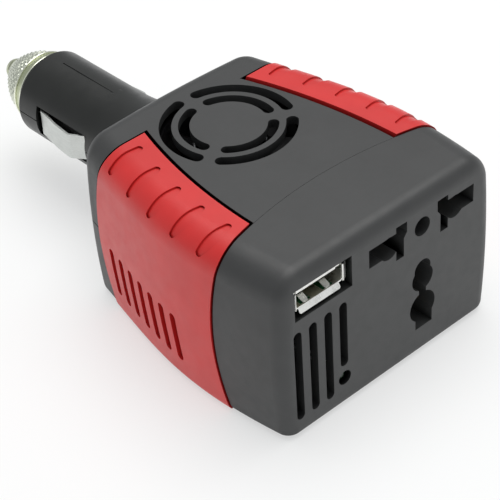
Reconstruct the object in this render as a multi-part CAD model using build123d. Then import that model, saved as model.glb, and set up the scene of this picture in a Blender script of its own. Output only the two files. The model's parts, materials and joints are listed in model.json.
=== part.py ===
"""Plug-in power inverter: a palm-sized housing with a 12 V vehicle plug at its rear.

Millimetres, +Z up.  Every sub-part is drawn with the outlet face on y = 0, the plug pointing
along +Y, the mirror plane on x = 0 and the resting face on z = 0.  save() then moves it, so
that the origin is the bottom centre of the whole object's box.
"""
import os
from functools import lru_cache
from math import degrees

from build123d import *

# ---------------------------------------------------------------- body
BODY_LENGTH = 67.1
BODY_HEIGHT = 40.8
MID_Z = BODY_HEIGHT / 2
# (y, half width) at the parting line, from the outlet face to the rear face
SIDE_LINE = [(0, 30.0), (10, 31.4), (22, 32.1), (34, 31.4), (48, 28.9), (BODY_LENGTH - 1.0, 24.8)]
SIDE_DRAFT = 1.1
TOP_SIDE_ROUND = 6.5
FRONT_ROUND = 3.4
REAR_ROUND = 4.0
BASE_ROUND = 2.4
SMALLEST_ROUND = 0.5
WALL = 3.1

# ---------------------------------------------------------------- seams and grip panels
SEAM_Y = 22.8
SEAM_SIDE_DROP = 5.1
SEAM_HALF_SPAN = 32.0
SEAM_BARREL_R = 70.0
SEAM_GAP = 0.06
PARTING_BEVEL = 0.24
PANEL_PROUD = 0.3
PANEL_BACK = 1.5
PANEL_SEAT_GAP = 0.05
PANEL_INNER_LINE = [(11.4, 56.6), (18.0, 37.0), (19.5, 17.0)]
PANEL_INNER_GAP = 1.0
PANEL_FRONT_GAP = 0.5
PANEL_REAR_GAP = 0.6
PANEL_REAR_R = 59.0
PANEL_REAR_Y = 2.0
PANEL_CORNER_R = 2.0
PANEL_BOTTOM_Z = 0.5
PEG_R = 1.2
PEG_PLACES = [(23.0, 9.0), (23.0, 31.0), (56.5, 27.0)]

# finger grooves over the panel's top edge; their inner ends drift inwards with the square of y
GROOVES = 5
GROOVE_FIRST = (23.2, 20.4)
GROOVE_PITCH = 8.15
GROOVE_DRIFT = 0.0048
GROOVE_LEAN = 9.0
GROOVE_RUN = 8.1
GROOVE_DROP = 3.8
GROOVE_DEPTH = 0.42
GROOVE_END = 0.85
GROOVE_BELLY = 2.25
GROOVE_END_BULGE = 0.45

# side vents through each panel
VENTS = 7
VENT_FIRST_Y = 54.6
VENT_PITCH = 4.1
VENT_WIDTH = 1.9
VENT_LENGTH = 12.0
VENT_MID_Z = 12.6
VENT_RISE = 0.1
VENT_LEAN = 6.0

# ---------------------------------------------------------------- outlet face
OUTLET_X = 9.0
OUTLET_Z = 33.3
FACE_BLOCK_DEPTH = 6.0
FACE_WALL = 2.0
PIN_HOLE_R = 2.2
USB_CUT = (-26.2, -10.8, 30.0, 37.4)
USB_SHELL = (-25.65, -12.55, 31.95, 36.4)
USB_MOUTH = 0.95
USB_DEPTH = 14.0
USB_LIP = 10.9
USB_SPRING_X = 2.95
SHEET = 0.3
LOUVRE_X = -25.8
LOUVRE_PITCH = 4.1
LOUVRE_WIDTH = 2.1
LOUVRE_TOP = 27.2
LOUVRE_BOTTOMS = [4.7, 4.7, 4.7, 10.9]
LAMP_X = -13.5
LAMP_Z = 7.7
LAMP_R = 1.6

# ---------------------------------------------------------------- fan
FAN_Y = 46.5
FAN_SIZE = 30.0
FAN_HEIGHT = 10.0
FAN_TOP_Z = 37.4
FAN_DUCT_R = 14.3
FAN_BLADE_R = 13.7
FAN_HUB_R = 8.3
FAN_BLADES = 7
FAN_HOLE_PITCH = 24.0
GRILLE_RINGS = [(8.2, 10.6), (12.0, 14.65)]
GRILLE_BAR = 2.5
GRILLE_BAR_ANGLES = [90.0, -30.0, -150.0]

# ---------------------------------------------------------------- plug
BARREL_R = 10.4
BARREL_END = 109.6
BARREL_END_ROUND = 0.45
BARREL_BAND = 103.3
BARREL_DRAFT = 0.03
BARREL_BORE_R = 8.0
BARREL_END_WALL = 2.4
NECK_LINE = [(67.3, 13.2), (73.5, 11.7), (79.5, 10.75), (86.0, BARREL_R)]
NECK_FLANGE_R = 14.2
NECK_FLANGE = (61.7, 63.2)
REAR_HOLE_R = 12.2
CREASE = (86.0, 104.0)
CREASE_DEPTH = 0.2
CREASE_RUNOUT = 0.6

CLIP_SLOT = (85.0, 102.9)
CLIP_SLOT_HALF = 3.8
CLIP_LINE = [(6.9, 105.6), (6.9, 102.3), (9.5, 101.8), (10.85, 94.6), (11.35, 89.3), (9.1, 86.2)]
CLIP_BENDS = [0.5, 0.7, 20.0, 1.8]
CLIP_HALF = 3.2
CLIP_SHEET = 0.5
COLLAR_LINE = [(109.7, 9.1), (111.8, 8.8), (114.4, 8.0), (117.7, 6.5)]
COLLAR_SPIGOT_R = 7.1
COLLAR_BORE_R = 4.4
CAP_LINE = [(118.0, 6.0), (122.9, 3.6)]
CAP_RIDGES = 26
PIN_R = 2.7
PIN_FLANGE = (120.0, 121.4)
PIN_FLANGE_R = 3.9
TIP_END = 126.2
FUSE_R = 3.1
FUSE = (84.0, 114.0)
FUSE_CAP_LENGTH = 6.0
SLEEVE = (82.0, 106.8)
SLEEVE_R = 6.3

# ---------------------------------------------------------------- electronics
BOARD = (-19.5, 19.5, 21.0, 57.0)
BOARD_Z = 8.0
BOARD_SHEET = 1.6
BOARD_TOP = BOARD_Z + BOARD_SHEET
BOARD_SCREWS = [(-17.0, 25.0), (17.0, 25.0), (0.0, 55.2)]
SCREW_POSTS = [(22.7, 25.0), (19.2, 60.2)]
POST_R = 2.7
SCREW_R = 1.1
SCREW_HEAD_R = 2.0
SHELF_Z = 29.5
CARRIER = (OUTLET_X - 16.3, OUTLET_X + 16.3, 6.2, 16.0, 5.4, 37.0)
BLADE_CHAMBER = (4.1, 15.6, 27.6, 37.9)
EARTH_CHAMBER = (4.4, 6.6, 26.0)
HEAT_SINK = (14.5, 16.3, 31.0, 56.0, BOARD_TOP + 0.1, 25.4)
SINK_FINS = 6
TRANSISTOR_YS = [37.0, 49.5]
CORE = (8.8, 36.0, 50.0, 10.4, 26.2)
CORE_LEG = 3.0
CORE_WINDOW = (6.4, 14.0, 22.6)
CAPACITORS = [(-9.3, 26.6, 4.3, 12.5), (0.4, 26.6, 4.3, 12.5), (9.4, 26.4, 3.6, 10.5)]

ORIGIN_SHIFT = Pos(0, -TIP_END / 2, 0)


# ---------------------------------------------------------------- helpers
def block(x0, x1, y0, y1, z0, z1):
    """Box between two corners."""
    middle = Pos((x0 + x1) / 2, (y0 + y1) / 2, (z0 + z1) / 2)
    return middle * Box(abs(x1 - x0), abs(y1 - y0), abs(z1 - z0))


def upright(radius, x, y, z0, z1):
    """Cylinder along Z."""
    return Pos(x, y, (z0 + z1) / 2) * Cylinder(radius, z1 - z0)


def lengthwise(radius, x, z, y0, y1):
    """Cylinder along Y."""
    return Pos(x, (y0 + y1) / 2, z) * Rot(90, 0, 0) * Cylinder(radius, y1 - y0)


def crosswise(radius, y, z, x0, x1):
    """Cylinder along X."""
    return Pos((x0 + x1) / 2, y, z) * Rot(0, 90, 0) * Cylinder(radius, x1 - x0)


def mirrored(shape):
    """The same piece on the other side of the mirror plane."""
    return mirror(shape, about=Plane.YZ)


def solids_of(*shapes):
    """One group of separate solids."""
    return Compound(children=[s for shape in shapes for s in shape.solids()])


def turned(profile):
    """Solid of revolution about the plug's axis, from (y, radius) points."""
    points = [(0, profile[0][0])] + [(r, y) for y, r in profile] + [(0, profile[-1][0])]
    face = make_face(Polyline(*points, close=True))
    return Pos(0, 0, MID_Z) * revolve(face, Axis.Y)


def wire_run(points, radius, bend):
    """Round insulated wire along straight runs with rounded bends."""
    path = FilletPolyline(*points, radius=bend)
    start = Plane(origin=path @ 0, z_dir=path % 0)
    return sweep(start * Circle(radius), path=path)


def save(node, shape):
    """Write one sub-part as a STEP file in the object's frame."""
    export_step(ORIGIN_SHIFT * shape, os.path.join("parts", node + ".step"))


# ---------------------------------------------------------------- body form
def plan_outline(z, draw_in, grow):
    """Body outline at height z, grown outwards on every side."""
    right = []
    for y, half_width in SIDE_LINE:
        y_grown = -grow if y == 0 else y + grow if y > BODY_LENGTH - 2 else y
        right.append(Vector(half_width - draw_in + grow, y_grown, z))
    left = [Vector(-p.X, p.Y, p.Z) for p in reversed(right)]
    front = Edge.make_line(left[-1], right[0])
    rear = Edge.make_three_point_arc(right[-1], Vector(0, BODY_LENGTH + grow, z), left[0])
    return Wire([front, Edge.make_spline(right), rear, Edge.make_spline(left)])


def edges_where(shape, test):
    """Edges whose middle point passes the test."""
    return [e for e in shape.edges() if test(e @ 0.5)]


@lru_cache(maxsize=None)
def body_form(grow=0.0):
    """The whole body as one solid; grow offsets its skin outwards, or inwards when negative."""
    low, high, rear = -grow, BODY_HEIGHT + grow, BODY_LENGTH + grow
    outlines = [
        plan_outline(low, SIDE_DRAFT, grow),
        plan_outline(MID_Z, 0, grow),
        plan_outline(high, SIDE_DRAFT, grow),
    ]
    form = Solid.make_loft(outlines)

    def rounded(shape, radius, test):
        return shape.fillet(max(radius + grow, SMALLEST_ROUND), edges_where(shape, test))

    near = 0.01
    form = rounded(form, TOP_SIDE_ROUND, lambda p: p.Z > high - near and low < p.Y < rear - 2)
    form = rounded(form, FRONT_ROUND, lambda p: p.Y < low + near and p.Z > low + near)
    form = rounded(form, REAR_ROUND, lambda p: p.Y > rear - 2 and p.Z > low + near)
    return rounded(form, BASE_ROUND, lambda p: p.Z < low + near)


def cap_region(shift=0.0):
    """Everything in front of the domed seam between the front cap and the rear housings."""
    axis_y = SEAM_Y - SEAM_BARREL_R
    edge_y = SEAM_Y - SEAM_SIDE_DROP
    x = SEAM_HALF_SPAN
    crown = ThreePointArc((-x, edge_y + shift), (0, SEAM_Y + shift), (x, edge_y + shift))
    rest = Polyline((x, edge_y + shift), (x + 9, edge_y + shift), (x + 9, axis_y),
                    (-x - 9, axis_y), (-x - 9, edge_y + shift), (-x, edge_y + shift))
    face = make_face(Curve([*crown.edges(), *rest.edges()]))
    return Pos(0, 0, MID_Z) * revolve(face, Axis((0, axis_y, 0), (1, 0, 0)))


@lru_cache(maxsize=None)
def panel_region(inner_gap, front_gap, rear_gap):
    """Space of the right-hand grip panel, inside its seat by the given gaps."""
    (x0, y0), (x1, y1), (x2, y2) = PANEL_INNER_LINE
    inner = ThreePointArc((x0 + inner_gap, y0 + 6), (x1 + inner_gap, y1), (x2 + inner_gap, y2 - 4))
    rest = Polyline((x2 + inner_gap, y2 - 4), (44, y2 - 4), (44, y0 + 6), (x0 + inner_gap, y0 + 6))
    plan = make_face(Curve([*inner.edges(), *rest.edges()]))
    prism = extrude(plan, BODY_HEIGHT + 6)
    rear_edge = crosswise(PANEL_REAR_R - rear_gap, PANEL_REAR_Y, MID_Z, 0, 50)
    region = prism & rear_edge
    corner = edges_where(region, lambda p: p.X < x0 + inner_gap + 0.6 and p.Y > y0 - 2)
    region = region.fillet(PANEL_CORNER_R, corner) if corner else region
    region -= cap_region(front_gap)
    region -= extrude(Face(plan_outline(-1, SIDE_DRAFT, -PANEL_BACK)), 1 + BASE_ROUND)
    return region & block(0, 50, 0, 80, PANEL_BOTTOM_Z, BODY_HEIGHT + 4)


# ---------------------------------------------------------------- housings
@lru_cache(maxsize=None)
def shell():
    """Hollow body with the seats of both grip panels let into its sides."""
    seat = panel_region(0, 0, 0) - body_form(-PANEL_BACK)
    form = body_form() - seat - mirrored(seat)
    form -= body_form(-WALL)
    parting = block(-40, 40, 0, 80, MID_Z - PARTING_BEVEL / 2, MID_Z + PARTING_BEVEL / 2)
    return form - (parting - body_form(-PARTING_BEVEL))


def vent_slots(width, side=1):
    """The slanted side vents as one cutter."""
    cutters = []
    for i in range(VENTS):
        y = VENT_FIRST_Y - i * VENT_PITCH
        z = VENT_MID_Z - i * VENT_RISE
        slot = SlotOverall(VENT_LENGTH, width, rotation=90 - VENT_LEAN)
        cutters.append(extrude(Plane(origin=(side * 20, y, z), x_dir=(0, 1, 0),
                                     z_dir=(side, 0, 0)) * slot, 20))
    return cutters


def grille_slots():
    """Two rings of curved slots over the fan."""
    cutters = []
    for r_in, r_out in GRILLE_RINGS:
        r_mid = (r_in + r_out) / 2
        width = r_out - r_in
        clear = degrees((GRILLE_BAR + width) / 2 / r_mid)
        for bar in GRILLE_BAR_ANGLES:
            arc = CenterArc((0, FAN_Y), r_mid, bar + clear, 120 - 2 * clear)
            slot = SlotArc(arc, width)
            cutters.append(extrude(Pos(0, 0, BODY_HEIGHT - 8) * slot, 10))
    return cutters


def housing_half(upper):
    """Rear housing above or below the parting line."""
    low, high = (MID_Z, BODY_HEIGHT + 1) if upper else (-1, MID_Z)
    half = shell() & block(-40, 40, 0, 80, low, high)
    half -= cap_region(SEAM_GAP)
    half -= lengthwise(REAR_HOLE_R, 0, MID_Z, 60, 70)
    for side in (1, -1):
        for cutter in vent_slots(VENT_WIDTH + 0.8, side):
            half -= cutter
    return half


def peg_holes(radius):
    """Cutters, or pegs, that hold a right-hand panel to the housing."""
    return [crosswise(radius, y, z, 15, 40) for y, z in PEG_PLACES]


def upper_housing():
    """Top shell with the fan grille, screw posts and fan posts."""
    half = housing_half(True)
    half -= upright(FAN_DUCT_R + 1.2, 0, FAN_Y, BODY_HEIGHT - 8, BODY_HEIGHT - 2)
    for cutter in grille_slots():
        half -= cutter
    for side in (-1, 1):
        for x, y in SCREW_POSTS:
            post = upright(POST_R, side * x, y, MID_Z, BODY_HEIGHT - 2)
            half += post & body_form(-1)
            half -= upright(SCREW_R, side * x, y, MID_Z - 1, MID_Z + 9)
    for x, y in fan_corners():
        half += upright(2.2, x, y, FAN_TOP_Z, BODY_HEIGHT - 2)
        half -= upright(0.9, x, y, FAN_TOP_Z - 1, FAN_TOP_Z + 2)
    for peg in peg_holes(PEG_R + 0.1):
        half -= peg
        half -= mirrored(peg)
    return half


def lower_housing():
    """Base shell with screw posts, board posts and counterbored screw holes."""
    half = housing_half(False)
    for side in (-1, 1):
        for x, y in SCREW_POSTS:
            half += upright(POST_R, side * x, y, 1.5, MID_Z) & body_form(-1)
            half -= upright(SCREW_R + 0.2, side * x, y, -1, MID_Z + 1)
            half -= upright(SCREW_HEAD_R + 0.2, side * x, y, -1, 2.2)
    for x, y in BOARD_SCREWS:
        half += upright(2.0, x, y, 2.5, BOARD_Z)
        half -= upright(0.8, x, y, 4, BOARD_Z + 1)
    for peg in peg_holes(PEG_R + 0.1):
        half -= peg
        half -= mirrored(peg)
    return half


def outlet_slot():
    """Right-hand blade opening: flat blade, upright blade, slanted blade and round pin in one."""
    x, z = OUTLET_X, OUTLET_Z
    flat = Pos(x + 10.2, z + 0.2) * Rectangle(9.8, 4.4)
    tall = Pos(x + 6.4, z - 0.35) * Rectangle(2.2, 8.2)
    lobe = make_face(Polyline((x + 5.3, z), (x + 4.4, z + 1.2), (x + 4.4, z + 3.7),
                              (x + 7.5, z + 3.7), (x + 7.5, z), close=True))
    pin = Pos(x + 9.5, z - 0.2) * Circle(2.7)
    return flat + tall + lobe + pin


def earth_opening():
    """Lower opening of the outlet: round pins over a broad square pin."""
    x = OUTLET_X + 0.15
    shape = Pos(x, 12.6) * Circle(3.68) + Pos(x + 0.4, 9.9) * Rectangle(4.9, 5.4)
    shape += Pos(x, 16.8) * Rectangle(2.1, 3.0)
    shape += Pos(x, 20.0) * Circle(3.03) + Pos(x, 22.4) * Circle(2.35)
    return shape


def through_face(sketch, depth):
    """Cutter through the outlet face from a sketch in (x, z)."""
    return extrude(Plane(origin=(0, -1, 0), x_dir=(1, 0, 0), z_dir=(0, -1, 0)) * sketch, -depth)


def front_cap():
    """Front cover: outlet, USB port, louvres and lamp hole."""
    hollow = body_form(-WALL) + block(-29, 29, FACE_WALL, 8, 4, BODY_HEIGHT - 4)
    hollow = hollow & body_form(-FACE_WALL)
    hollow += body_form(-WALL)
    cap = (body_form() - hollow) & cap_region()
    cap += block(OUTLET_X - 16.8, OUTLET_X + 16.8, 1, FACE_BLOCK_DEPTH, 4, BODY_HEIGHT - 2.5)
    blades = outlet_slot()
    left_blades = Pos(2 * OUTLET_X, 0) * mirror(blades, about=Plane.YZ)
    for sketch in (blades, left_blades, earth_opening(), Pos(OUTLET_X, OUTLET_Z) * Circle(PIN_HOLE_R)):
        cap -= through_face(sketch, FACE_BLOCK_DEPTH + 3)
    x0, x1, z0, z1 = USB_CUT
    cap -= block(x0, x1, -1, 8, z0, z1)
    for i, bottom in enumerate(LOUVRE_BOTTOMS):
        x = LOUVRE_X + i * LOUVRE_PITCH
        slot = SlotOverall(LOUVRE_TOP - bottom, LOUVRE_WIDTH, rotation=90)
        cap -= through_face(Pos(x, (LOUVRE_TOP + bottom) / 2) * slot, 7)
    cap -= lengthwise(LAMP_R + 0.1, LAMP_X, LAMP_Z, -1, 7)
    shelf = block(-30, -9, 1.5, 15, SHELF_Z - 1.1, SHELF_Z)
    return cap + (shelf & body_form(-1))


def groove_outline():
    """Finger groove in plan: straight at the rear, bellied towards the front, rounded at its ends."""
    half = (GROOVE_RUN ** 2 + GROOVE_DROP ** 2) ** 0.5 / 2 - GROOVE_END_BULGE
    end = half + GROOVE_END_BULGE
    belly = ThreePointArc((-half, -GROOVE_END), (0, -GROOVE_BELLY), (half, -GROOVE_END))
    side = ThreePointArc((half, -GROOVE_END), (end, 0), (half, GROOVE_END))
    back = Line((half, GROOVE_END), (-half, GROOVE_END))
    inner = ThreePointArc((-half, GROOVE_END), (-end, 0), (-half, -GROOVE_END))
    return make_face(Curve([*belly.edges(), *side.edges(), *back.edges(), *inner.edges()]))


def groove_cutter(x, y):
    """Prism over one finger groove, square to the panel's rounded edge."""
    across = Plane(
        origin=(GROOVE_RUN / 2, 0, BODY_HEIGHT + PANEL_PROUD - GROOVE_DROP / 2),
        x_dir=(GROOVE_RUN, 0, -GROOVE_DROP),
        z_dir=(GROOVE_DROP, 0, GROOVE_RUN),
    )
    prism = extrude(across * groove_outline(), 4, both=True)
    return Pos(x, y, 0) * Rot(0, 0, GROOVE_LEAN) * prism


def grip_panel():
    """Right-hand panel: a thin skin over the side and top edge, with pegs into the housing."""
    region = panel_region(PANEL_INNER_GAP, PANEL_FRONT_GAP, PANEL_REAR_GAP)
    panel = (body_form(PANEL_PROUD) & region) - body_form(PANEL_SEAT_GAP - PANEL_BACK)
    groove_floor = body_form(PANEL_PROUD - GROOVE_DEPTH)
    for i in range(GROOVES):
        back = i * GROOVE_PITCH
        groove = groove_cutter(GROOVE_FIRST[0] - GROOVE_DRIFT * back ** 2, GROOVE_FIRST[1] + back)
        panel -= groove - groove_floor
    for cutter in vent_slots(VENT_WIDTH):
        panel -= cutter
    root = body_form(-1.0) - body_form(-WALL - 0.6)
    for peg in peg_holes(PEG_R):
        panel += peg & root
    return panel


def housing_screws():
    """Four long screws from the base up into the top shell."""
    screws = []
    for side in (-1, 1):
        for x, y in SCREW_POSTS:
            head = upright(SCREW_HEAD_R, side * x, y, 0.5, 2.1)
            drive = upright(0.9, side * x, y, 0, 1.3)
            screws.append(head + upright(SCREW_R - 0.1, side * x, y, 2, MID_Z + 8) - drive)
    return solids_of(*screws)


# ---------------------------------------------------------------- fan
def fan_corners():
    """Centres of the fan's four screws."""
    reach = FAN_HOLE_PITCH / 2
    return [(x * reach, FAN_Y + y * reach) for x in (-1, 1) for y in (-1, 1)]


def fan_frame():
    """Square fan frame with its duct, spokes, motor plate and bearing tube."""
    z0, z1 = FAN_TOP_Z - FAN_HEIGHT, FAN_TOP_Z
    half = FAN_SIZE / 2
    frame = block(-half, half, FAN_Y - half, FAN_Y + half, z0, z1)
    frame = frame.fillet(2, edges_where(frame, lambda p: abs(p.Z - (z0 + z1) / 2) < 1))
    frame -= upright(FAN_DUCT_R, 0, FAN_Y, z0 - 1, z1 + 1)
    for turn in (45, 165, 285):
        spoke = Pos(0, FAN_Y, z0 + 0.6) * Rot(0, 0, turn) * Pos(10.5, 0, 0) * Box(9, 2, 1.2)
        frame += spoke
    frame += upright(7.6, 0, FAN_Y, z0, z0 + 1.2)
    frame += upright(2.2, 0, FAN_Y, z0, FAN_TOP_Z - 3)
    frame -= upright(0.8, 0, FAN_Y, z0 + 0.6, FAN_TOP_Z)
    for x, y in fan_corners():
        frame -= upright(1.2, x, y, z0 - 1, z1 + 1)
    return frame


def fan_rotor():
    """Hub cup with its blades."""
    z0, z1 = FAN_TOP_Z - 8.2, FAN_TOP_Z - 1
    hub = upright(FAN_HUB_R - 0.3, 0, FAN_Y, z0, z1)
    hub = hub.fillet(0.6, edges_where(hub, lambda p: p.Z > z1 - 0.1))
    hub -= upright(FAN_HUB_R - 1.1, 0, FAN_Y, z0 - 1, z1 - 1)
    reach = upright(FAN_BLADE_R, 0, FAN_Y, z0, z1) - upright(FAN_HUB_R - 0.7, 0, FAN_Y, z0 - 1, z1 + 1)
    for i in range(FAN_BLADES):
        place = Pos(0, FAN_Y, (z0 + z1) / 2) * Rot(0, 0, i * 360 / FAN_BLADES) * Pos(10.8, 0, 0)
        hub += (place * Rot(38, 0, 0) * Box(8, 8.6, 0.8)) & reach
    return hub


def fan_stator():
    """Iron poles around the bearing tube."""
    z0, z1 = FAN_TOP_Z - 8.1, FAN_TOP_Z - 4
    ring = upright(6.5, 0, FAN_Y, z0, z1) - upright(2.3, 0, FAN_Y, z0 - 1, z1 + 1)
    for i in range(4):
        gap = Pos(0, FAN_Y, (z0 + z1) / 2) * Rot(0, 0, 45 + 90 * i) * Pos(5.5, 0, 0) * Box(4, 1.2, 8)
        ring -= gap
    return ring


def fan_screws():
    """Four screws that hold the fan under the grille."""
    z0 = FAN_TOP_Z - FAN_HEIGHT
    return solids_of(*[
        upright(1.9, x, y, z0 - 1.2, z0) + upright(0.8, x, y, z0 - 0.1, FAN_TOP_Z + 1.8)
        for x, y in fan_corners()
    ])


# ---------------------------------------------------------------- plug
def barrel():
    """Both halves of the plug barrel in one, with flared neck, flange and clip slots."""
    z = MID_Z
    flange0, flange1 = NECK_FLANGE
    neck = Spline(*[(r, y) for y, r in NECK_LINE], tangents=((-0.3, 1), (0, 1)))
    end = BARREL_END
    edge = BARREL_END_ROUND
    groove_r = REAR_HOLE_R - 0.1
    band_r = BARREL_R - BARREL_DRAFT
    nose = Polyline((BARREL_R, NECK_LINE[-1][0]), (band_r, BARREL_BAND), (band_r, end - edge))
    nose_round = RadiusArc((band_r, end - edge), (band_r - edge, end), -edge)
    inside = end - BARREL_END_WALL
    back = Polyline(
        (band_r - edge, end), (COLLAR_SPIGOT_R + 0.1, end), (COLLAR_SPIGOT_R + 0.1, inside),
        (BARREL_BORE_R, inside), (BARREL_BORE_R, flange0), (NECK_FLANGE_R, flange0),
        (NECK_FLANGE_R, flange1), (groove_r, flange1), (groove_r, NECK_LINE[0][0]), neck @ 0,
    )
    face = make_face(Curve([*neck.edges(), *nose.edges(), *nose_round.edges(), *back.edges()]))
    shape = Pos(0, 0, z) * revolve(face, Axis.Y)
    y0, y1 = CLIP_SLOT
    for side in (-1, 1):
        slot = block(side * 6, side * 12, y0, y1, z - CLIP_SLOT_HALF, z + CLIP_SLOT_HALF)
        shape -= slot
    for turn in (0, 180):
        shape -= Pos(0, 0, z) * Rot(0, turn, 0) * crease_cutter()
    seam = block(-20, 20, NECK_LINE[0][0], end + 1, z - PARTING_BEVEL / 2, z + PARTING_BEVEL / 2)
    return shape - (seam - lengthwise(BARREL_R - PARTING_BEVEL, 0, z, 60, end + 2))


def crease_cutter():
    """Fine crease along the barrel that fades out towards the plug's end."""
    y0, y1 = CREASE
    ridge = Pos(0, (y0 + y1) / 2, BARREL_R) * Rot(-CREASE_RUNOUT, 0, 0) * Rot(0, 45, 0)
    width = CREASE_DEPTH * 2 ** 0.5
    return ridge * Box(width, y1 - y0, width)


def barrel_half(upper):
    """Half of the barrel, above or below its parting line."""
    low, high = (MID_Z, MID_Z + 20) if upper else (MID_Z - 20, MID_Z)
    return barrel() & block(-20, 20, 60, 115, low, high)


def ground_clip():
    """Right-hand sheet-metal spring contact that bows out of the barrel's side."""
    path = FilletPolyline(*CLIP_LINE, radius=CLIP_BENDS)
    leaf = extrude(trace(path, CLIP_SHEET), CLIP_HALF, both=True)
    return Pos(0, 0, MID_Z) * leaf


def tip_collar():
    """Smooth conical collar that closes the barrel's end and holds the fuse."""
    inside = BARREL_END - BARREL_END_WALL
    points = [(inside, COLLAR_SPIGOT_R), (COLLAR_LINE[0][0], COLLAR_SPIGOT_R), *COLLAR_LINE, (118.0, 6.1)]
    solid = turned(points)
    solid -= lengthwise(COLLAR_BORE_R, 0, MID_Z, inside - 1, 119)
    return solid


def tip_cap():
    """Knurled end cap with the contact's hole."""
    (y0, r0), (y1, r1) = CAP_LINE
    cap = turned([(y0, r0), (y1 - 0.4, r1 + 0.1), (y1, r1 - 0.3)])
    slope = degrees((r0 - r1) / (y1 - y0) * 0.92)
    on_cone = Pos(0, (y0 + y1) / 2, (r0 + r1) / 2 + 0.22) * Rot(-slope, 0, 0)
    groove = on_cone * Rot(0, 45, 0) * Box(0.6, 9, 0.6)
    for i in range(CAP_RIDGES):
        cap -= Pos(0, 0, MID_Z) * Rot(0, i * 360 / CAP_RIDGES, 0) * groove
    cap -= lengthwise(COLLAR_BORE_R, 0, MID_Z, y0 - 1, PIN_FLANGE[1] - 0.9)
    cap -= lengthwise(PIN_FLANGE_R + 0.1, 0, MID_Z, y0 - 1, PIN_FLANGE[1] + 0.05)
    cap -= lengthwise(PIN_R + 0.1, 0, MID_Z, y0 - 1, TIP_END)
    return cap


def center_contact():
    """Domed centre pin with its stop flange."""
    f0, f1 = PIN_FLANGE
    return turned([(f0, PIN_FLANGE_R), (f1, PIN_FLANGE_R), (f1, PIN_R), (TIP_END - 2.0, PIN_R),
                   (TIP_END - 1.1, PIN_R * 0.86), (TIP_END - 0.35, PIN_R * 0.52), (TIP_END, 0.3)])


def contact_spring():
    """Coil spring between the fuse and the centre pin."""
    y0, y1 = FUSE[1] + 0.4, PIN_FLANGE[0] - 0.4
    coil = Helix(pitch=(y1 - y0) / 4, height=y1 - y0, radius=2.3)
    wire = sweep(Plane(origin=coil @ 0, z_dir=coil % 0) * Circle(0.3), path=coil)
    return Pos(0, y1, MID_Z) * Rot(90, 0, 0) * wire


def fuse_tube():
    """Glass tube of the fuse."""
    y0, y1 = FUSE
    return lengthwise(FUSE_R - 0.3, 0, MID_Z, y0 + 1, y1 - 1) - lengthwise(2.0, 0, MID_Z, y0, y1)


def fuse_caps():
    """Metal end caps of the fuse."""
    y0, y1 = FUSE
    hollow = lengthwise(FUSE_R - 0.25, 0, MID_Z, y0 + 0.6, y1 - 0.6)
    ends = [lengthwise(FUSE_R, 0, MID_Z, y0, y0 + FUSE_CAP_LENGTH) - hollow,
            lengthwise(FUSE_R, 0, MID_Z, y1 - FUSE_CAP_LENGTH, y1) - hollow]
    return solids_of(*ends)


def fuse_sleeve():
    """Insulating sleeve that carries the fuse inside the barrel."""
    y0, y1 = SLEEVE
    sleeve = lengthwise(SLEEVE_R, 0, MID_Z, y0, y1) - lengthwise(FUSE_R + 0.15, 0, MID_Z, y0 - 1, y1 + 1)
    ribs = lengthwise(BARREL_BORE_R - 0.1, 0, MID_Z, y0, y0 + 1.5)
    return sleeve + (ribs - lengthwise(SLEEVE_R - 0.5, 0, MID_Z, y0 - 1, y0 + 3)) - supply_channel()


def supply_channel():
    """Notch in the sleeve's rim for the earth-side lead."""
    return lengthwise(1.1, -3.6, MID_Z - 6.1, SLEEVE[0] - 1, SLEEVE[1] + 1)


def fuse_terminal():
    """Rear terminal of the fuse, with its solder tab."""
    y0 = FUSE[0]
    cup = lengthwise(FUSE_R - 0.1, 0, MID_Z, y0 - 0.8, y0)
    return cup + block(-1.2, 1.2, y0 - 4.5, y0 - 0.5, MID_Z - 0.25, MID_Z + 0.25)


# ---------------------------------------------------------------- outlet and USB port
def chambers():
    """Hollows of the contact carrier behind the outlet's openings."""
    x0, x1, z0, z1 = BLADE_CHAMBER
    y0, y1 = CARRIER[2] - 1, CARRIER[3] - 0.9
    cut = [block(OUTLET_X + s * x0, OUTLET_X + s * x1, y0, y1, z0, z1) for s in (-1, 1)]
    half, e0, e1 = EARTH_CHAMBER
    cut.append(block(OUTLET_X - half, OUTLET_X + half + 0.4, y0, y1, e0, e1))
    cut.append(lengthwise(PIN_HOLE_R, OUTLET_X, OUTLET_Z, y0, y1))
    return cut


def outlet_carrier():
    """Insulating block that holds the outlet's contacts."""
    carrier = block(*CARRIER)
    for hollow in chambers():
        carrier -= hollow
    return carrier


def blade_contact():
    """Right-hand contact: a folded strip with a leaf above and below the blade."""
    x0, x1, z0, z1 = BLADE_CHAMBER
    y0, y1 = CARRIER[2] + 0.6, CARRIER[3] - 0.95
    left, right = OUTLET_X + x0 + 1.5, OUTLET_X + x1 - 0.4
    back = block(left, right, y1 - 0.5, y1, OUTLET_Z - 2.6, CARRIER[5] - 0.4)
    upper = block(left, right, y0, y1, CARRIER[5] - 0.9, CARRIER[5] - 0.4)
    lower = block(left, right, y0, y1, OUTLET_Z - 3.1, OUTLET_Z - 2.6)
    tail = block(left + 2, left + 4.4, y1 - 0.5, y1, z0 + 0.2, OUTLET_Z - 2.5)
    return back + upper + lower + tail


def earth_contact():
    """Folded strip around the earth pins."""
    half, z0, z1 = EARTH_CHAMBER
    y0, y1 = CARRIER[2] + 0.6, CARRIER[3] - 0.95
    x = OUTLET_X + 0.2
    wide = half - 0.2
    back = block(x - wide, x + wide, y1 - 0.5, y1, z0 + 1, z1 - 1)
    leaves = [block(x + s * wide, x + s * (wide - 0.45), y0, y1, z0 + 1, z1 - 1) for s in (-1, 1)]
    return back + leaves[0] + leaves[1]


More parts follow.
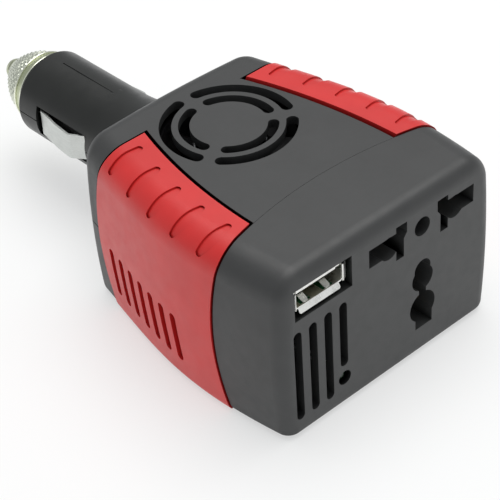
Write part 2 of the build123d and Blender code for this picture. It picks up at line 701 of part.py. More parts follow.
def usb_spring(x, z):
    """Spring tongue that stands clear of the port's floor, bowed upwards."""
    near = Box(1.5, 1.9, 0.25)
    near = near.fillet(0.5, edges_where(near, lambda p: p.Y < -0.9 and abs(p.X) > 0.7))
    near = Pos(x, 2.15, z + 0.62) * Rot(24, 0, 0) * near
    return near + Pos(x, 4.65, z + 0.6) * Rot(-13.6, 0, 0) * Box(1.5, 3.5, 0.25)


def usb_lips(x0, x1, z0, z1):
    """Four flared lips around the port's mouth."""
    mid_x, mid_z = (x0 + x1) / 2, (z0 + z1) / 2
    bottom = Box(USB_LIP, SHEET, 1.4)
    bottom = bottom.fillet(0.4, edges_where(bottom, lambda p: p.Z < -0.6 and abs(p.X) > 5))
    lips = Pos(mid_x, 0.74, z0 - 0.42) * Rot(-28, 0, 0) * bottom
    lips += Pos(mid_x - 0.7, 0.84, z1 + 0.12) * Rot(14, 0, 0) * Box(USB_LIP - 0.4, SHEET, 1.25)
    right = Box(1.25, SHEET, z1 - z0 - 0.4)
    right = right.fillet(0.3, edges_where(right, lambda p: p.X > 0.6 and abs(p.Z) > 1.8))
    lips += Pos(x1 + 0.25, 0.74, mid_z + 0.1) * Rot(0, 0, 28) * right
    lips += Pos(x0 - 0.02, 0.7, mid_z + 0.1) * Rot(0, 0, -52) * Box(0.9, SHEET, z1 - z0 - 0.5)
    return lips


def usb_shell():
    """Sheet-metal shell of the USB port, with flared lips and two spring tongues in its floor."""
    x0, x1, z0, z1 = USB_SHELL
    front, back = USB_MOUTH, USB_MOUTH + USB_DEPTH
    shell_box = block(x0, x1, front, back, z0, z1)
    corners = edges_where(shell_box, lambda p: abs(p.Y - (front + back) / 2) < 0.1)
    shell_box = shell_box.fillet(0.6, corners)
    shell_box -= block(x0 + SHEET, x1 - SHEET, front - 1, back - 0.6, z0 + SHEET, z1 - SHEET)
    shell_box += usb_lips(x0, x1, z0, z1)
    mid_x = (x0 + x1) / 2
    for x in (mid_x - USB_SPRING_X, mid_x + USB_SPRING_X):
        shell_box -= block(x - 1.35, x + 1.35, front + 0.35, 6.2, z0 - 0.1, z0 + SHEET + 0.1)
        shell_box += usb_spring(x, z0)
    for x in (x0 + 0.9, x1 - 0.9):
        shell_box += block(x - 0.5, x + 0.5, back - 4, back - 3, SHELF_Z + 1.7, z0 + 0.1)
    return shell_box


def usb_tongue():
    """Insulating tongue and rear block inside the USB port."""
    x0, x1, z0, z1 = USB_SHELL
    back = USB_MOUTH + USB_DEPTH - 0.7
    tongue = block(x0 + 1.0, x1 - 1.0, 2.7, back, z1 - 2.3, z1 - 0.7)
    return tongue + block(x0 + 0.4, x1 - 0.4, 12, back, z0 + 0.4, z1 - 0.4)


def usb_contacts():
    """Four contact strips under the tongue."""
    x0, x1, _, z1 = USB_SHELL
    mid_x = (x0 + x1) / 2
    return solids_of(*[block(mid_x + x - 0.5, mid_x + x + 0.5, 3.6, 11.9, z1 - 2.52, z1 - 2.32)
                       for x in (-3.5, -1.0, 1.0, 3.5)])


def usb_board():
    """Small board under the USB port."""
    return block(-26.4, -11.2, 3.2, 18.0, SHELF_Z + 0.05, SHELF_Z + 1.65)


def lamp_lens():
    """Domed status lamp behind the outlet face."""
    lens = lengthwise(LAMP_R - 0.05, LAMP_X, LAMP_Z, 0.9, 5)
    lens = lens.fillet(1.2, edges_where(lens, lambda p: p.Y < 1))
    return lens + lengthwise(LAMP_R + 0.5, LAMP_X, LAMP_Z, 2.15, 3.2)


def lamp_leads():
    """Two wire legs from the lamp to the main board."""
    legs = []
    for x in (-0.6, 0.6):
        legs.append(lengthwise(0.25, LAMP_X + x, LAMP_Z, 5.0, 19.0 + x)
                    + upright(0.25, LAMP_X + x, 18.8 + x, LAMP_Z - 0.25, BOARD_TOP + 1)
                    + lengthwise(0.25, LAMP_X + x, BOARD_TOP + 0.75, 18.7 + x, 22.0))
    return solids_of(*legs)


# ---------------------------------------------------------------- electronics
def circuit_board():
    """Main board."""
    x0, x1, y0, y1 = BOARD
    board = block(x0, x1, y0, y1, BOARD_Z, BOARD_TOP)
    for x, y in BOARD_SCREWS:
        board -= upright(1.0, x, y, BOARD_Z - 1, BOARD_TOP + 1)
    return board


def board_screws():
    """Three screws that hold the main board to the base."""
    return solids_of(*[upright(1.8, x, y, BOARD_TOP, BOARD_TOP + 1.2)
                       + upright(0.75, x, y, 4.3, BOARD_TOP + 0.1) for x, y in BOARD_SCREWS])


def transformer_core():
    """Ferrite core with two winding windows."""
    half, y0, y1, z0, z1 = CORE
    window_x, w0, w1 = CORE_WINDOW
    core = block(-half, half, y0, y1, z0, z1)
    for side in (-1, 1):
        core -= block(side * CORE_LEG, side * window_x, y0 - 1, y1 + 1, w0, w1)
    return core


def transformer_bobbin():
    """Bobbin flanges around the centre leg, with feet on the board."""
    half, y0, y1, z0, _ = CORE
    window_x, w0, w1 = CORE_WINDOW
    outer = window_x - 0.1
    ring = block(-outer, outer, y0 - 3.2, y1 + 3.2, w0 + 0.1, w1 - 0.1)
    ring -= block(-CORE_LEG - 0.1, CORE_LEG + 0.1, y0 - 0.1, y1 + 0.1, w0 - 1, w1 + 1)
    groove = block(-outer - 1, outer + 1, y0 - 5, y1 + 5, w0 + 0.8, w1 - 0.8)
    groove -= block(-CORE_LEG - 0.6, CORE_LEG + 0.6, y0 - 0.6, y1 + 0.6, w0, w1)
    ring -= groove
    for y in (y0 - 2.4, y1 + 2.4):
        ring += block(-6, 6, y - 0.7, y + 0.7, BOARD_TOP + 0.02, w0 + 0.3)
    return ring


def transformer_winding():
    """Copper winding on the bobbin."""
    _, y0, y1, _, _ = CORE
    window_x, w0, w1 = CORE_WINDOW
    outer = window_x - 0.3
    coil = block(-outer, outer, y0 - 2.8, y1 + 2.8, w0 + 0.85, w1 - 0.85)
    mid_z = (w0 + w1) / 2
    corners = edges_where(coil, lambda p: abs(p.X) > outer - 0.1 and abs(p.Z - mid_z) < 0.1)
    coil = coil.fillet(2.0, corners)
    return coil - block(-CORE_LEG - 0.65, CORE_LEG + 0.65, y0 - 0.65, y1 + 0.65, w0, w1)


def heat_sink():
    """Right-hand aluminium plate with fins."""
    x0, x1, y0, y1, z0, z1 = HEAT_SINK
    sink = block(*HEAT_SINK)
    for i in range(SINK_FINS):
        y = y0 + (i + 0.5) * (y1 - y0) / SINK_FINS
        sink += block(x1 - 0.1, x1 + 2.6, y - 0.5, y + 0.5, z0, z1)
    return sink


def transistors():
    """Right-hand power transistors: body, tab and legs, screwed to the heat sink."""
    x1 = HEAT_SINK[0] - 0.02
    shapes = []
    for y in TRANSISTOR_YS:
        body = block(x1 - 4.4, x1, y - 5, y + 5, 13.5, 22.5) + block(x1 - 1.3, x1, y - 5, y + 5, 22.4, 25.2)
        for leg in (-2.5, 0, 2.5):
            body += block(x1 - 2.6, x1 - 2.1, y + leg - 0.4, y + leg + 0.4, BOARD_TOP + 0.02, 13.6)
        shapes.append(body)
    return shapes


def capacitors():
    """Electrolytic cans on the main board."""
    cans = []
    for x, y, radius, height in CAPACITORS:
        can = upright(radius, x, y, BOARD_TOP + 0.02, BOARD_TOP + height)
        cans.append(can.fillet(0.7, can.edges()))
    return solids_of(*cans)


# ---------------------------------------------------------------- wires
def supply_wire_positive():
    """Lead from the fuse to the main board."""
    points = [(0, FUSE[0] - 4.6, MID_Z), (0, 66, MID_Z), (7, 60.5, 19), (7, 56.0, 15),
              (7, 56.0, BOARD_TOP + 0.1)]
    return wire_run(points, 0.9, 1.6)


def supply_wire_negative():
    """Lead from the ground clips to the main board."""
    z = MID_Z - 6.1
    points = [(-3.6, 100, z), (-3.6, 60.8, z), (-6.5, 57.8, 12.8), (-6.5, 55.2, 12.4),
              (-6.5, 55.2, BOARD_TOP + 0.1)]
    return wire_run(points, 0.85, 0.9)


def outlet_wire(x, x_board, z):
    """Lead from one outlet contact to the main board."""
    points = [(x, CARRIER[3] + 0.1, z), (x, 18.6, z), (x_board, 18.9, z - 6), (x_board, 19.3, 13),
              (x_board, 22.3, 11.4), (x_board, 22.3, BOARD_TOP + 0.1)]
    return wire_run(points, 0.7, 0.8)


def fan_wires():
    """The fan's pair of leads."""
    z = FAN_TOP_Z - FAN_HEIGHT
    pair = []
    for x in (6.8, 8.2):
        pair.append(wire_run([(x, 33.0, z - 0.1), (x, 33.0, z - 2.2), (x - 1.5, 31.6, z - 5),
                              (x - 1.5, 31.6, BOARD_TOP + 0.1)], 0.5, 0.9))
    return solids_of(*pair)


def main():
    os.makedirs("parts", exist_ok=True)
    panel = grip_panel()
    clip = ground_clip()
    sink = heat_sink()
    contact = blade_contact()
    power = transistors()
    across = Pos(2 * OUTLET_X, 0, 0)
    nodes = {
        "front_cap": front_cap(),
        "upper_housing": upper_housing(),
        "lower_housing": lower_housing(),
        "right_grip_panel": panel,
        "left_grip_panel": mirrored(panel),
        "housing_screws": housing_screws(),
        "fan_frame": fan_frame(),
        "fan_rotor": fan_rotor(),
        "fan_shaft": upright(0.74, 0, FAN_Y, FAN_TOP_Z - 9.2, FAN_TOP_Z - 2),
        "fan_magnet": upright(7.15, 0, FAN_Y, FAN_TOP_Z - 8, FAN_TOP_Z - 3)
        - upright(6.75, 0, FAN_Y, FAN_TOP_Z - 9, FAN_TOP_Z - 2),
        "fan_stator": fan_stator(),
        "fan_screws": fan_screws(),
        "plug_barrel_upper": barrel_half(True),
        "plug_barrel_lower": barrel_half(False),
        "ground_clip_right": clip,
        "ground_clip_left": mirrored(clip),
        "tip_collar": tip_collar(),
        "tip_cap": tip_cap(),
        "center_contact": center_contact(),
        "contact_spring": contact_spring(),
        "fuse_tube": fuse_tube(),
        "fuse_caps": fuse_caps(),
        "fuse_sleeve": fuse_sleeve(),
        "fuse_terminal": fuse_terminal(),
        "outlet_carrier": outlet_carrier(),
        "live_contact": contact,
        "neutral_contact": across * mirrored(contact),
        "earth_contact": earth_contact(),
        "usb_shell": usb_shell(),
        "usb_tongue": usb_tongue(),
        "usb_contacts": usb_contacts(),
        "usb_board": usb_board(),
        "lamp_lens": lamp_lens(),
        "lamp_leads": lamp_leads(),
        "circuit_board": circuit_board(),
        "board_screws": board_screws(),
        "transformer_core": transformer_core(),
        "transformer_bobbin": transformer_bobbin(),
        "transformer_winding": transformer_winding(),
        "right_heat_sink": sink,
        "left_heat_sink": mirrored(sink),
        "power_transistors": solids_of(*power, *[mirrored(p) for p in power]),
        "capacitors": capacitors(),
        "supply_wire_positive": supply_wire_positive(),
        "supply_wire_negative": supply_wire_negative(),
        "live_wire": outlet_wire(20.0, 13.0, 29.0),
        "neutral_wire": outlet_wire(-2.0, -4.0, 29.0),
        "earth_wire": outlet_wire(9.2, 5.0, 20.0),
        "fan_wires": fan_wires(),
    }
    for node, shape in nodes.items():
        save(node, shape)


main()
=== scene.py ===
import json
from math import cos, pi, radians, sin

import bmesh
import bpy
from mathutils import Matrix, Vector


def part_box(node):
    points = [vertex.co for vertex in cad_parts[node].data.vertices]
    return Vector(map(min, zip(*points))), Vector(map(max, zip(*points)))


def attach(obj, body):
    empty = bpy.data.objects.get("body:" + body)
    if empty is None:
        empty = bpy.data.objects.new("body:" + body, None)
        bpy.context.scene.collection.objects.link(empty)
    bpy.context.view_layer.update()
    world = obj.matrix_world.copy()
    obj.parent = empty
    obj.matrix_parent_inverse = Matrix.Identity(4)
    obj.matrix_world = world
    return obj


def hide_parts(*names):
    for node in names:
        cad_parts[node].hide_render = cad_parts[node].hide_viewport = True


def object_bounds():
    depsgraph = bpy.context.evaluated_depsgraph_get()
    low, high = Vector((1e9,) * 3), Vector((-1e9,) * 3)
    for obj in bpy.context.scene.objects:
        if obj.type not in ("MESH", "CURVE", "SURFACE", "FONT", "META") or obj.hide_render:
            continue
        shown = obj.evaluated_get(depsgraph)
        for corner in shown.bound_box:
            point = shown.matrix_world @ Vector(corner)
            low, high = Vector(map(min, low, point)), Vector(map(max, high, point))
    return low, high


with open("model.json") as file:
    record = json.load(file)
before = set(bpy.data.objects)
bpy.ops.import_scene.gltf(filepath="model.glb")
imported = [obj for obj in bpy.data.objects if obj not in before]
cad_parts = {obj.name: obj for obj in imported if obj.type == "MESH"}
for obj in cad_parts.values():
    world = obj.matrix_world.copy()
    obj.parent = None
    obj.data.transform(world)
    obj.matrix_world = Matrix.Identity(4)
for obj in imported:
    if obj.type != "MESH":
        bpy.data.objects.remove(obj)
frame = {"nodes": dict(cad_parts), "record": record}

MM = 0.001
cad_low, cad_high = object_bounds()

# ------------------------------------------------------------------ camera
CAMERA_TARGET = Vector((-2.07, -23.1, 11.89)) * MM
CAMERA_DISTANCE = 393.8 * MM
CAMERA_AZIMUTH = radians(-40.47)
CAMERA_ELEVATION = radians(38.36)
CAMERA_ROLL = radians(-3.89)
CAMERA_LENS = 131.7
CAMERA_SENSOR = 36
CAMERA_NEAR = 0.01


def add_camera():
    """Camera that looks down at the inverter from its front left."""
    back = Vector((
        sin(CAMERA_AZIMUTH) * cos(CAMERA_ELEVATION),
        -cos(CAMERA_AZIMUTH) * cos(CAMERA_ELEVATION),
        sin(CAMERA_ELEVATION),
    ))
    level_right = (-back).cross(Vector((0, 0, 1))).normalized()
    level_up = level_right.cross(-back)
    right = level_right * cos(CAMERA_ROLL) + level_up * sin(CAMERA_ROLL)
    up = level_up * cos(CAMERA_ROLL) - level_right * sin(CAMERA_ROLL)
    data = bpy.data.cameras.new("camera")
    data.lens = CAMERA_LENS
    data.sensor_width = CAMERA_SENSOR
    data.clip_start = CAMERA_NEAR
    camera = bpy.data.objects.new("camera", data)
    turn = Matrix((right, up, back)).transposed()
    camera.matrix_world = Matrix.Translation(CAMERA_TARGET + back * CAMERA_DISTANCE) @ turn.to_4x4()
    bpy.context.scene.collection.objects.link(camera)
    bpy.context.scene.camera = camera


# ------------------------------------------------------------------ light and floor
WORLD_LIGHT = 0.47
WORLD_TINT = (0.96, 0.985, 1.0, 1.0)
LAMP_TINT = (1.0, 0.985, 0.97)
LIGHT_AIM = (0.0, 0.0, 0.02)
OVERHEAD_PLACE = (0.22, 0.08, 0.95)
OVERHEAD_SIZE = 0.9
OVERHEAD_WATTS = 7.5
FRONT_PLACE = (0.10, -0.90, 0.30)
FRONT_SIZE = 0.5
FRONT_WATTS = 0.8
FLOOR_GLOW = 0.55
FLOOR_REACH = 4.0
FLOOR_COLOUR = (0.42, 0.425, 0.425, 1)


def add_softbox(name, place, size, power, tint=(1.0, 1.0, 1.0)):
    """Square area light that faces the inverter."""
    data = bpy.data.lights.new(name, "AREA")
    data.shape = "SQUARE"
    data.size = size
    data.energy = power
    data.color = tint
    lamp = bpy.data.objects.new(name, data)
    lamp.location = Vector(place)
    lamp.rotation_euler = (Vector(LIGHT_AIM) - lamp.location).to_track_quat("-Z", "Y").to_euler()
    bpy.context.scene.collection.objects.link(lamp)


def add_studio():
    """Pale surroundings, one large soft light overhead and a weak one in front."""
    world = bpy.data.worlds.new("studio")
    world.use_nodes = True
    background = world.node_tree.nodes["Background"]
    background.inputs["Color"].default_value = WORLD_TINT
    background.inputs["Strength"].default_value = WORLD_LIGHT
    bpy.context.scene.world = world
    add_softbox("overhead", OVERHEAD_PLACE, OVERHEAD_SIZE, OVERHEAD_WATTS, LAMP_TINT)
    add_softbox("front", FRONT_PLACE, FRONT_SIZE, FRONT_WATTS)
    bpy.context.scene.view_settings.view_transform = "Standard"


def add_floor():
    """Large pale floor under the inverter, level with its base; its faint glow lightens shadows."""
    mesh = bpy.data.meshes.new("floor")
    signs = [(-1, -1), (1, -1), (1, 1), (-1, 1)]
    corners = [(x * FLOOR_REACH, y * FLOOR_REACH, cad_low.z) for x, y in signs]
    mesh.from_pydata(corners, [], [(0, 1, 2, 3)])
    floor = bpy.data.objects.new("floor", mesh)
    bpy.context.scene.collection.objects.link(floor)
    material, shader, _ = new_material("floor_paper")
    shader.inputs["Base Color"].default_value = FLOOR_COLOUR
    shader.inputs["Emission Color"].default_value = (1, 1, 1, 1)
    shader.inputs["Emission Strength"].default_value = FLOOR_GLOW
    shader.inputs["Roughness"].default_value = 0.9
    shader.inputs["Specular IOR Level"].default_value = 0.1
    mesh.materials.append(material)


# ------------------------------------------------------------------ material helpers
def new_material(name):
    """Empty node material with its shader and tree."""
    material = bpy.data.materials.new(name)
    material.use_nodes = True
    tree = material.node_tree
    return material, tree.nodes["Principled BSDF"], tree


def noise(tree, size_mm, detail=3.0, roughness=0.55, stretch=(1, 1, 1)):
    """Noise whose features are about size_mm wide, in the object's own space."""
    place = tree.nodes.new("ShaderNodeTexCoord")
    scale = tree.nodes.new("ShaderNodeMapping")
    scale.inputs["Scale"].default_value = stretch
    texture = tree.nodes.new("ShaderNodeTexNoise")
    texture.inputs["Scale"].default_value = 1 / (size_mm * MM)
    texture.inputs["Detail"].default_value = detail
    texture.inputs["Roughness"].default_value = roughness
    tree.links.new(place.outputs["Object"], scale.inputs["Vector"])
    tree.links.new(scale.outputs["Vector"], texture.inputs["Vector"])
    return texture.outputs["Fac"]


def between(tree, factor, low, high, span=(0.3, 0.7)):
    """Value that runs from low to high with a texture's factor."""
    ramp = tree.nodes.new("ShaderNodeMapRange")
    ramp.inputs["From Min"].default_value = span[0]
    ramp.inputs["From Max"].default_value = span[1]
    ramp.inputs["To Min"].default_value = low
    ramp.inputs["To Max"].default_value = high
    tree.links.new(factor, ramp.inputs["Value"])
    return ramp.outputs["Result"]


def tinted(tree, factor, dark, light, span=(0.35, 0.65)):
    """Colour that runs between two tints with a texture's factor."""
    ramp = tree.nodes.new("ShaderNodeValToRGB")
    ramp.color_ramp.elements[0].position = span[0]
    ramp.color_ramp.elements[0].color = (*dark, 1)
    ramp.color_ramp.elements[1].position = span[1]
    ramp.color_ramp.elements[1].color = (*light, 1)
    tree.links.new(factor, ramp.inputs["Fac"])
    return ramp.outputs["Color"]


def bumped(tree, shader, height, strength, distance_mm):
    """Surface relief from a height texture."""
    bump = tree.nodes.new("ShaderNodeBump")
    bump.inputs["Strength"].default_value = strength
    bump.inputs["Distance"].default_value = distance_mm * MM
    tree.links.new(height, bump.inputs["Height"])
    tree.links.new(bump.outputs["Normal"], shader.inputs["Normal"])


def painted_gap_shade(tree, reach_mm, floor):
    """Painted shade: a factor that falls from 1 on open skin to floor deep inside gaps, slots and
    seams.
    """
    gaps = tree.nodes.new("ShaderNodeAmbientOcclusion")
    gaps.samples = 8
    gaps.inputs["Distance"].default_value = reach_mm * MM
    return between(tree, gaps.outputs["AO"], floor, 1.0, (0.25, 0.85))


def scaled(tree, colour, factor):
    """Colour multiplied by a factor."""
    mix = tree.nodes.new("ShaderNodeVectorMath")
    mix.operation = "SCALE"
    tree.links.new(colour, mix.inputs[0])
    tree.links.new(factor, mix.inputs["Scale"])
    return mix.outputs["Vector"]


def times(tree, value, factor):
    """Product of a texture's factor and a number."""
    product = tree.nodes.new("ShaderNodeMath")
    product.operation = "MULTIPLY"
    product.inputs[1].default_value = value
    tree.links.new(factor, product.inputs[0])
    return product.outputs["Value"]


def moulded(name, colour, rough=0.5, grain=0.25, relief=0.3, spread=0.06, specular=0.5,
            gaps=0.0, deepest=0.03):
    """Moulded plastic: spark-eroded grain, slight mottling, uneven gloss and painted shade that darkens
    colour and gloss in its gaps.
    """
    material, shader, tree = new_material(name)
    mottle = noise(tree, 9.0, 4.0)
    dark = [c * (1 - spread) for c in colour]
    light = [min(c * (1 + spread), 1.0) for c in colour]
    tint = tinted(tree, mottle, dark, light)
    shader.inputs["Specular IOR Level"].default_value = specular
    # painted shade: base colour and specular fall towards deepest inside gaps, slots and seams
    if gaps:
        shade = painted_gap_shade(tree, gaps, deepest)
        tint = scaled(tree, tint, shade)
        tree.links.new(times(tree, specular, shade), shader.inputs["Specular IOR Level"])
    tree.links.new(tint, shader.inputs["Base Color"])
    gloss = noise(tree, 3.0, 4.0)
    tree.links.new(between(tree, gloss, rough - 0.05, rough + 0.05), shader.inputs["Roughness"])
    bumped(tree, shader, noise(tree, grain, 2.0), relief, 0.05)
    return material


def metal(name, colour, rough=0.3, brushed=(1, 1, 1), relief=0.2, grain=0.3, spread=0.10, gaps=0.0):
    """Plated or bare metal with fine tool marks along one direction, cloudy gloss and optional painted
    shade in its gaps.
    """
    material, shader, tree = new_material(name)
    marks = noise(tree, grain, 4.0, 0.6, brushed)
    dark = [c * (1 - spread) for c in colour]
    tint = tinted(tree, marks, dark, colour)
    # painted shade: base colour darkens inside gaps
    if gaps:
        tint = scaled(tree, tint, painted_gap_shade(tree, gaps, 0.2))
    tree.links.new(tint, shader.inputs["Base Color"])
    cloud = noise(tree, 2.5, 3.0)
    tree.links.new(between(tree, cloud, rough - 0.06, rough + 0.08), shader.inputs["Roughness"])
    bumped(tree, shader, marks, relief, 0.02)
    shader.inputs["Metallic"].default_value = 1.0
    return material


def clear_glass(name):
    """Thin clear glass with faint smears."""
    material, shader, tree = new_material(name)
    shader.inputs["Base Color"].default_value = (0.92, 0.96, 0.96, 1)
    shader.inputs["Transmission Weight"].default_value = 1.0
    smears = noise(tree, 1.5, 3.0)
    tree.links.new(between(tree, smears, 0.02, 0.12), shader.inputs["Roughness"])
    return material


# ------------------------------------------------------------------ materials by slot
ALONG_Y = (1, 0.06, 1)
DOWN_Z = (1, 1, 0.05)
WOUND = (0.05, 0.05, 6)


def outer_materials():
    """Housing, grip panels and everything else on the body's outside; housing and grips have painted
    shade in their gaps.
    """
    return {
        # gaps= gives painted shade in the housing's slots and seams and in the grips' grooves and vents
        "housing": moulded("housing_plastic", (0.040, 0.041, 0.0415), rough=0.46, grain=0.35,
                           relief=0.20, spread=0.05, gaps=3.5),
        "grip": moulded("grip_plastic", (0.63, 0.021, 0.020), rough=0.38, grain=0.40, relief=0.10,
                        spread=0.04, specular=0.55, gaps=0.8, deepest=0.45),
        "lamp_plastic": moulded("lamp_plastic", (0.010, 0.020, 0.012), rough=0.15, grain=0.4,
                                relief=0.02, spread=0.1, specular=0.6),
        "usb_metal": metal("usb_metal", (0.97, 0.97, 0.94), rough=0.30, brushed=ALONG_Y, relief=0.06),
        "usb_tongue": moulded("usb_tongue", (0.13, 0.125, 0.075), rough=0.45, grain=0.3, relief=0.1),
        "screw_steel": metal("screw_steel", (0.55, 0.56, 0.58), rough=0.32),
    }


def plug_materials():
    """Barrel, spring contacts, tip and fuse; the barrel has painted shade in its gaps."""
    return {
        "plug_plastic": moulded("plug_plastic", (0.013, 0.014, 0.013), rough=0.34, grain=0.30,
                                relief=0.05, spread=0.08, specular=0.45, gaps=2.0),
        "clip_metal": metal("clip_metal", (0.60, 0.62, 0.60), rough=0.34, brushed=ALONG_Y, relief=0.12),
        "tip_metal": metal("tip_metal", (0.50, 0.53, 0.38), rough=0.28, relief=0.25, grain=0.5),
        "spring_steel": metal("spring_steel", (0.62, 0.63, 0.64)),
        "fuse_glass": clear_glass("fuse_glass"),
        "sleeve_plastic": moulded("sleeve_plastic", (0.02, 0.02, 0.02)),
    }


def fan_materials():
    """Fan frame, rotor, shaft, magnet and poles; the fan's plastic has painted shade in its gaps."""
    return {
        "fan_plastic": moulded("fan_plastic", (0.008, 0.008, 0.009), rough=0.45, grain=0.3,
                               relief=0.1, specular=0.3, gaps=4.0),
        "fan_steel": metal("fan_steel", (0.5, 0.5, 0.52), rough=0.25),
        "fan_magnet": moulded("fan_magnet", (0.03, 0.03, 0.032), rough=0.55, grain=0.2, relief=0.5),
    }


def electronic_materials():
    """Contacts, board, transformer, heat sinks and other parts inside the housing."""
    return {
        "plated_contact": metal("plated_contact", (0.80, 0.72, 0.48), rough=0.35),
        "carrier_plastic": moulded("carrier_plastic", (0.045, 0.045, 0.047)),
        "board_green": moulded("board_green", (0.02, 0.11, 0.04), rough=0.3, grain=0.6, relief=0.15,
                               spread=0.15),
        "lead_wire": metal("lead_wire", (0.7, 0.7, 0.7), rough=0.35),
        "ferrite": moulded("ferrite", (0.03, 0.03, 0.032), rough=0.6, grain=0.3, relief=0.4),
        "bobbin_plastic": moulded("bobbin_plastic", (0.62, 0.58, 0.42), rough=0.45),
        "copper_winding": metal("copper_winding", (0.70, 0.30, 0.12), brushed=WOUND, relief=0.8,
                                grain=0.5),
        "heat_sink_metal": metal("heat_sink_metal", (0.72, 0.73, 0.75), rough=0.4, brushed=DOWN_Z,
                                 relief=0.3),
        "transistor_body": moulded("transistor_body", (0.015, 0.015, 0.015), rough=0.45),
        "capacitor_sleeve": moulded("capacitor_sleeve", (0.02, 0.03, 0.10), rough=0.25, grain=0.5,
                                    relief=0.1),
    }


WIRE_COLOURS = {
    "wire_red": (0.45, 0.01, 0.01),
    "wire_black": (0.012, 0.012, 0.012),
    "wire_brown": (0.12, 0.04, 0.015),
    "wire_blue": (0.02, 0.06, 0.35),
    "wire_green": (0.05, 0.25, 0.04),
}


def wire_materials():
    """Smooth glossy insulation in each wire's colour."""
    return {
        slot: moulded(slot, colour, rough=0.35, grain=0.4, relief=0.1)
        for slot, colour in WIRE_COLOURS.items()
    }


def make_materials():
    """One finished material for each of the record's material slots."""
    return {
        **outer_materials(),
        **plug_materials(),
        **fan_materials(),
        **electronic_materials(),
        **wire_materials(),
    }


def dress_nodes(materials):
    """Give every CAD node the finished material of its slot."""
    slots = {s["node"]: s["material_slot"] for s in frame["record"]["subparts"]}
    for name, node in frame["nodes"].items():
        node.data.materials.clear()
        node.data.materials.append(materials[slots[name]])


# ------------------------------------------------------------------ turned pieces
def spun(name, loop, centre, axis, steps, material, lift=None):
    """Closed turned piece about an axis: loop holds (distance along it, radius, share of the lift)."""
    points = []
    for i in range(steps):
        angle = 2 * pi * i / steps
        for along, radius, share in loop:
            out = radius + (share * lift(angle, along) if lift and share else 0)
            first, second = out * sin(angle), out * cos(angle)
            place = (first, along, second) if axis == "Y" else (first, second, along)
            points.append(centre + Vector(place) * MM)
    mesh = bpy.data.meshes.new(name)
    mesh.from_pydata(points, [], ring_faces(steps, len(loop)))
    face_outwards(mesh)
    mesh.materials.append(material)
    piece = bpy.data.objects.new(name, mesh)
    bpy.context.scene.collection.objects.link(piece)
    return piece


def ring_faces(steps, count):
    """Quads between neighbouring copies of a closed loop of count points."""
    faces = []
    for i in range(steps):
        here, there = i * count, (i + 1) % steps * count
        for j in range(count):
            following = (j + 1) % count
            faces.append((here + j, here + following, there + following, there + j))
    return faces


def face_outwards(mesh):
    """Turn every face of a closed mesh outwards."""
    shape = bmesh.new()
    shape.from_mesh(mesh)
    bmesh.ops.recalc_face_normals(shape, faces=shape.faces)
    shape.to_mesh(mesh)
    shape.free()


def profile(points, step):
    """Points along an outline of (along, radius) points, about step apart."""
    entries = []
    for (a, ra), (b, rb) in zip(points, points[1:]):
        parts = max(1, round(abs(b - a) / step))
        for k in range(parts):
            t = k / parts
            entries.append((a + (b - a) * t, ra + (rb - ra) * t))
    return entries + [points[-1]]


# ------------------------------------------------------------------ plug tip
# millimetres from the collar's hidden rear face along the plug, and radius
BAND_END = 6.3
BAND = [(0, 7.1), (2.5, 7.1), (2.5, 9.0), (3.7, 8.9), (BAND_END, 8.4)]
BAND_STEPS = 144
BEADS = [(3.75, 8.95), (6.1, 8.55)]
BEAD_R = 0.24
BEAD_SIDES = 12
CAP_START = 6.35
CAP_END = 15.7
CAP_SKIN = [(CAP_START, 7.95), (7.3, 7.95), (9.4, 7.5), (11.0, 6.7), (13.0, 5.4), (14.6, 4.15),
            (15.4, 3.5), (CAP_END, 3.2)]
CAP_SKIN_STEP = 0.13
KNURL_COUNT = 34
KNURL_PITCH = 1.5
KNURL_DEPTH = 0.26
STEPS_PER_RIDGE = 10
COLLAR_BORE = 4.4
FLANGE_SEAT = 14.3
FLANGE_BORE = 4.0
PIN_HOLE = 2.8


def wave(turn):
    """Triangle wave between 0 and 1."""
    return 1 - abs(2 * (turn % 1) - 1)


def knurl(angle, along):
    """Height of the crossed ridges at a point of the cap."""
    around = angle * KNURL_COUNT / (2 * pi)
    up, down = wave(around + along / KNURL_PITCH), wave(around - along / KNURL_PITCH)
    return KNURL_DEPTH * min(up, down)


def tip_centre():
    """Point on the plug's axis at the collar's rear face."""
    low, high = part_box("tip_collar")
    return Vector(((low[0] + high[0]) / 2, low[1], (low[2] + high[2]) / 2))


def fix_to_body(piece):
    """Plated tip piece that stays on the inverter's body."""
    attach(piece, "inverter_body")


def add_collar_band():
    """Smooth plated band in front of the barrel."""
    plating = metal("band_metal", (0.56, 0.60, 0.42), rough=0.34, grain=0.5)
    loop = [(y, r, 0) for y, r in BAND] + [(BAND_END, COLLAR_BORE, 0), (0, COLLAR_BORE, 0)]
    band = spun("collar_band", loop, tip_centre(), "Y", BAND_STEPS, plating)
    fix_to_body(band)
    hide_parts("tip_collar")


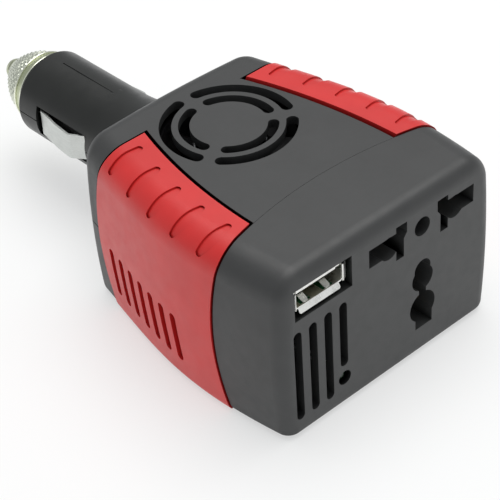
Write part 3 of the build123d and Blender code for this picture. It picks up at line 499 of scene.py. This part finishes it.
def add_collar_beads():
    """Two rolled beads, one at each edge of the band, plated lighter than the band as a painted
    highlight.
    """
    # painted highlight: the beads' plating is much lighter than the band's, though both are the same
    # collar
    plating = metal("bead_highlight_metal", (0.93, 0.95, 0.80), rough=0.18, relief=0.1, grain=0.5, spread=0.04)
    turns = [2 * pi * k / BEAD_SIDES for k in range(BEAD_SIDES)]
    for i, (y, r) in enumerate(BEADS):
        loop = [(y + BEAD_R * cos(t), r + BEAD_R * sin(t), 0) for t in turns]
        bead = spun("collar_bead_%d" % (i + 1), loop, tip_centre(), "Y", BAND_STEPS, plating)
        bead.data.shade_smooth()
        fix_to_body(bead)


def add_knurled_cap():
    """Cap with crossed ridges around the centre pin; painted shade darkens the plating between the
    ridges.
    """
    plating = metal("knurl_metal", (0.74, 0.77, 0.66), rough=0.32, relief=0.3, grain=0.4,
                    spread=0.25, gaps=0.45)
    skin = [(y, r, 1) for y, r in profile(CAP_SKIN, CAP_SKIN_STEP)]
    bore = [(CAP_END, PIN_HOLE, 0), (FLANGE_SEAT, PIN_HOLE, 0), (FLANGE_SEAT, FLANGE_BORE, 0),
            (CAP_START, COLLAR_BORE, 0)]
    steps = KNURL_COUNT * STEPS_PER_RIDGE
    cap = spun("knurled_cap", skin + bore, tip_centre(), "Y", steps, plating, knurl)
    fix_to_body(cap)
    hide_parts("tip_cap")


# ------------------------------------------------------------------ fan hub
# (height above the rotor's lowest point, radius) around the rim's section, in millimetres
HUB_RIM = [(5.8, 7.9), (5.8, 8.12), (6.75, 8.12), (7.02, 8.03), (7.2, 7.86), (7.28, 7.6), (7.28, 7.3),
           (7.12, 7.3), (6.9, 7.6)]
HUB_RIM_STEPS = 96


def add_hub_rim():
    """Bright pressed rim around the top of the fan's hub."""
    low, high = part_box("fan_rotor")
    centre = Vector(((low[0] + high[0]) / 2, (low[1] + high[1]) / 2, low[2]))
    steel = metal("hub_metal", (0.9, 0.9, 0.92), rough=0.2)
    loop = [(z, r, 0) for z, r in HUB_RIM]
    rim = spun("hub_rim", loop, centre, "Z", HUB_RIM_STEPS, steel)
    rim.data.shade_smooth()
    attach(rim, "fan_rotor")


add_camera()
add_studio()
add_floor()
dress_nodes(make_materials())
add_collar_band()
add_collar_beads()
add_knurled_cap()
add_hub_rim()
